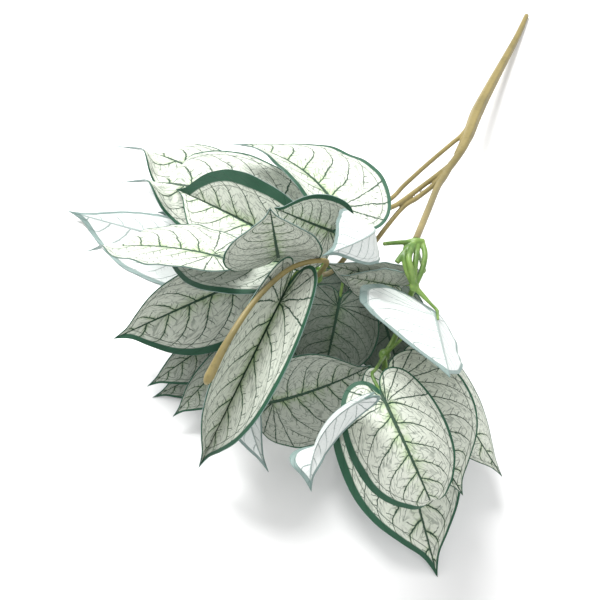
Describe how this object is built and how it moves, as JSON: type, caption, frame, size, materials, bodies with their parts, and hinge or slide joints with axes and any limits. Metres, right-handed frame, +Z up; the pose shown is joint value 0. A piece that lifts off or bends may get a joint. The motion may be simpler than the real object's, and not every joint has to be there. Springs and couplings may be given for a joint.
{
  "type": "artificial persian shield spray",
  "caption": "Cut artificial plant spray lying on its side: heart-shaped printed leaves on green whorls, with a branched tan stem.",
  "frame": {"origin": "centre of the spray's box, on the surface that it lies on", "axes": "+Y along the stem towards its cut end, +Z up from the surface"},
  "size_m": [0.3064, 0.4507, 0.133],
  "materials": {
    "leaf_print": "matt printed fabric, cream with a dark green vein net",
    "green_plastic": "moulded, slightly waxy",
    "tan_plastic": "moulded with faint lengthwise ribs"
  },
  "bodies": {
    "root": {"leaf_back_upper": "leaf_print", "leaf_back_front": "leaf_print", "leaf_back_far": "leaf_print", "leaf_back_middle": "leaf_print", "leaf_crown": "leaf_print", "leaf_crown_side": "leaf_print", "leaf_fold_high": "leaf_print", "leaf_left_collar": "leaf_print", "leaf_left_high": "leaf_print", "leaf_left_far": "leaf_print", "leaf_left_tucked": "leaf_print", "leaf_left_low": "leaf_print", "leaf_front_tall": "leaf_print", "leaf_front_turned": "leaf_print", "leaf_front_middle": "leaf_print", "leaf_front_curled": "leaf_print", "leaf_heart_near": "leaf_print", "leaf_heart_right": "leaf_print", "leaf_heart_left": "leaf_print", "leaf_right_top": "leaf_print", "leaf_right_second": "leaf_print", "leaf_right_long": "leaf_print", "leaf_right_outer": "leaf_print", "leaf_fold_right": "leaf_print", "leaf_fold_small": "leaf_print", "leaf_fold_under": "leaf_print", "leaf_corner_top": "leaf_print", "leaf_corner_rest": "leaf_print", "leaf_corner_front": "leaf_print", "leaf_rest_left": "leaf_print", "leaf_rest_right": "leaf_print", "leaf_rest_middle": "leaf_print", "whorl_right": "green_plastic", "whorl_middle": "green_plastic", "whorl_left": "green_plastic", "whorl_back": "green_plastic", "whorl_inner": "green_plastic", "stem": "tan_plastic", "spur": "tan_plastic"}
  },
  "joints": []
}
